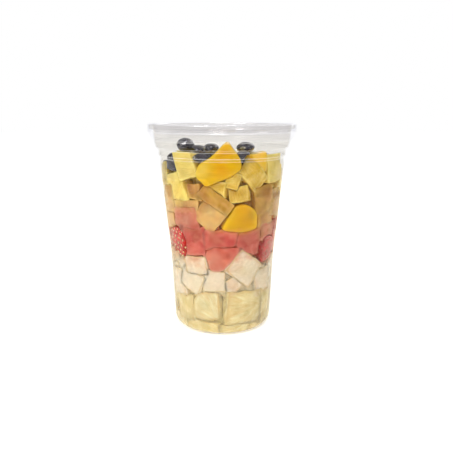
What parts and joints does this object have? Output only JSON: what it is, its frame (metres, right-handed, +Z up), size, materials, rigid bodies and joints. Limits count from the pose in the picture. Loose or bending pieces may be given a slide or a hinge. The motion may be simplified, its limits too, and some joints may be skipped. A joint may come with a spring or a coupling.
{
  "type": "fruit cup",
  "caption": "Clear tapered cup with a flat lid, filled with layers of cut fruit: dark grapes and mango over pineapple, peach, red melon, white melon and pale pineapple.",
  "frame": {"origin": "centre of the cup's foot, on the surface it stands on", "axes": "+Z up along the cup, -Y towards the front of the cup"},
  "size_m": [0.099, 0.099, 0.1385],
  "materials": {
    "cup_plastic": "clear and glossy, thin formed sheet",
    "lid_plastic": "clear and glossy, thin formed sheet",
    "pale_pineapple": "wet cut fruit, fibrous",
    "white_melon": "wet cut fruit, smooth",
    "red_melon": "wet cut fruit, grainy",
    "golden_peach": "wet cut fruit in juice",
    "yellow_pineapple": "wet cut fruit, fibrous",
    "mango": "wet cut fruit, smooth",
    "strawberry": "wet skin with seeds",
    "peach": "wet cut fruit, smooth",
    "dark_grape": "dark wet skin"
  },
  "bodies": {
    "root": {"cup": "cup_plastic", "lid": "lid_plastic", "bottom_pineapple": "pale_pineapple", "white_melon": "white_melon", "red_melon": "red_melon", "golden_peach": "golden_peach", "yellow_pineapple": "yellow_pineapple", "mango_slice_top": "mango", "mango_slice_middle": "mango", "mango_slice_back": "mango", "mango_slice_side": "mango", "strawberry_left": "strawberry", "strawberry_right": "strawberry", "strawberry_back": "strawberry", "peach_cube": "peach", "dark_grape_1": "dark_grape", "dark_grape_2": "dark_grape", "dark_grape_3": "dark_grape", "dark_grape_4": "dark_grape", "dark_grape_5": "dark_grape", "dark_grape_6": "dark_grape", "dark_grape_7": "dark_grape", "dark_grape_8": "dark_grape", "dark_grape_9": "dark_grape", "dark_grape_10": "dark_grape", "dark_grape_11": "dark_grape"}
  },
  "joints": []
}
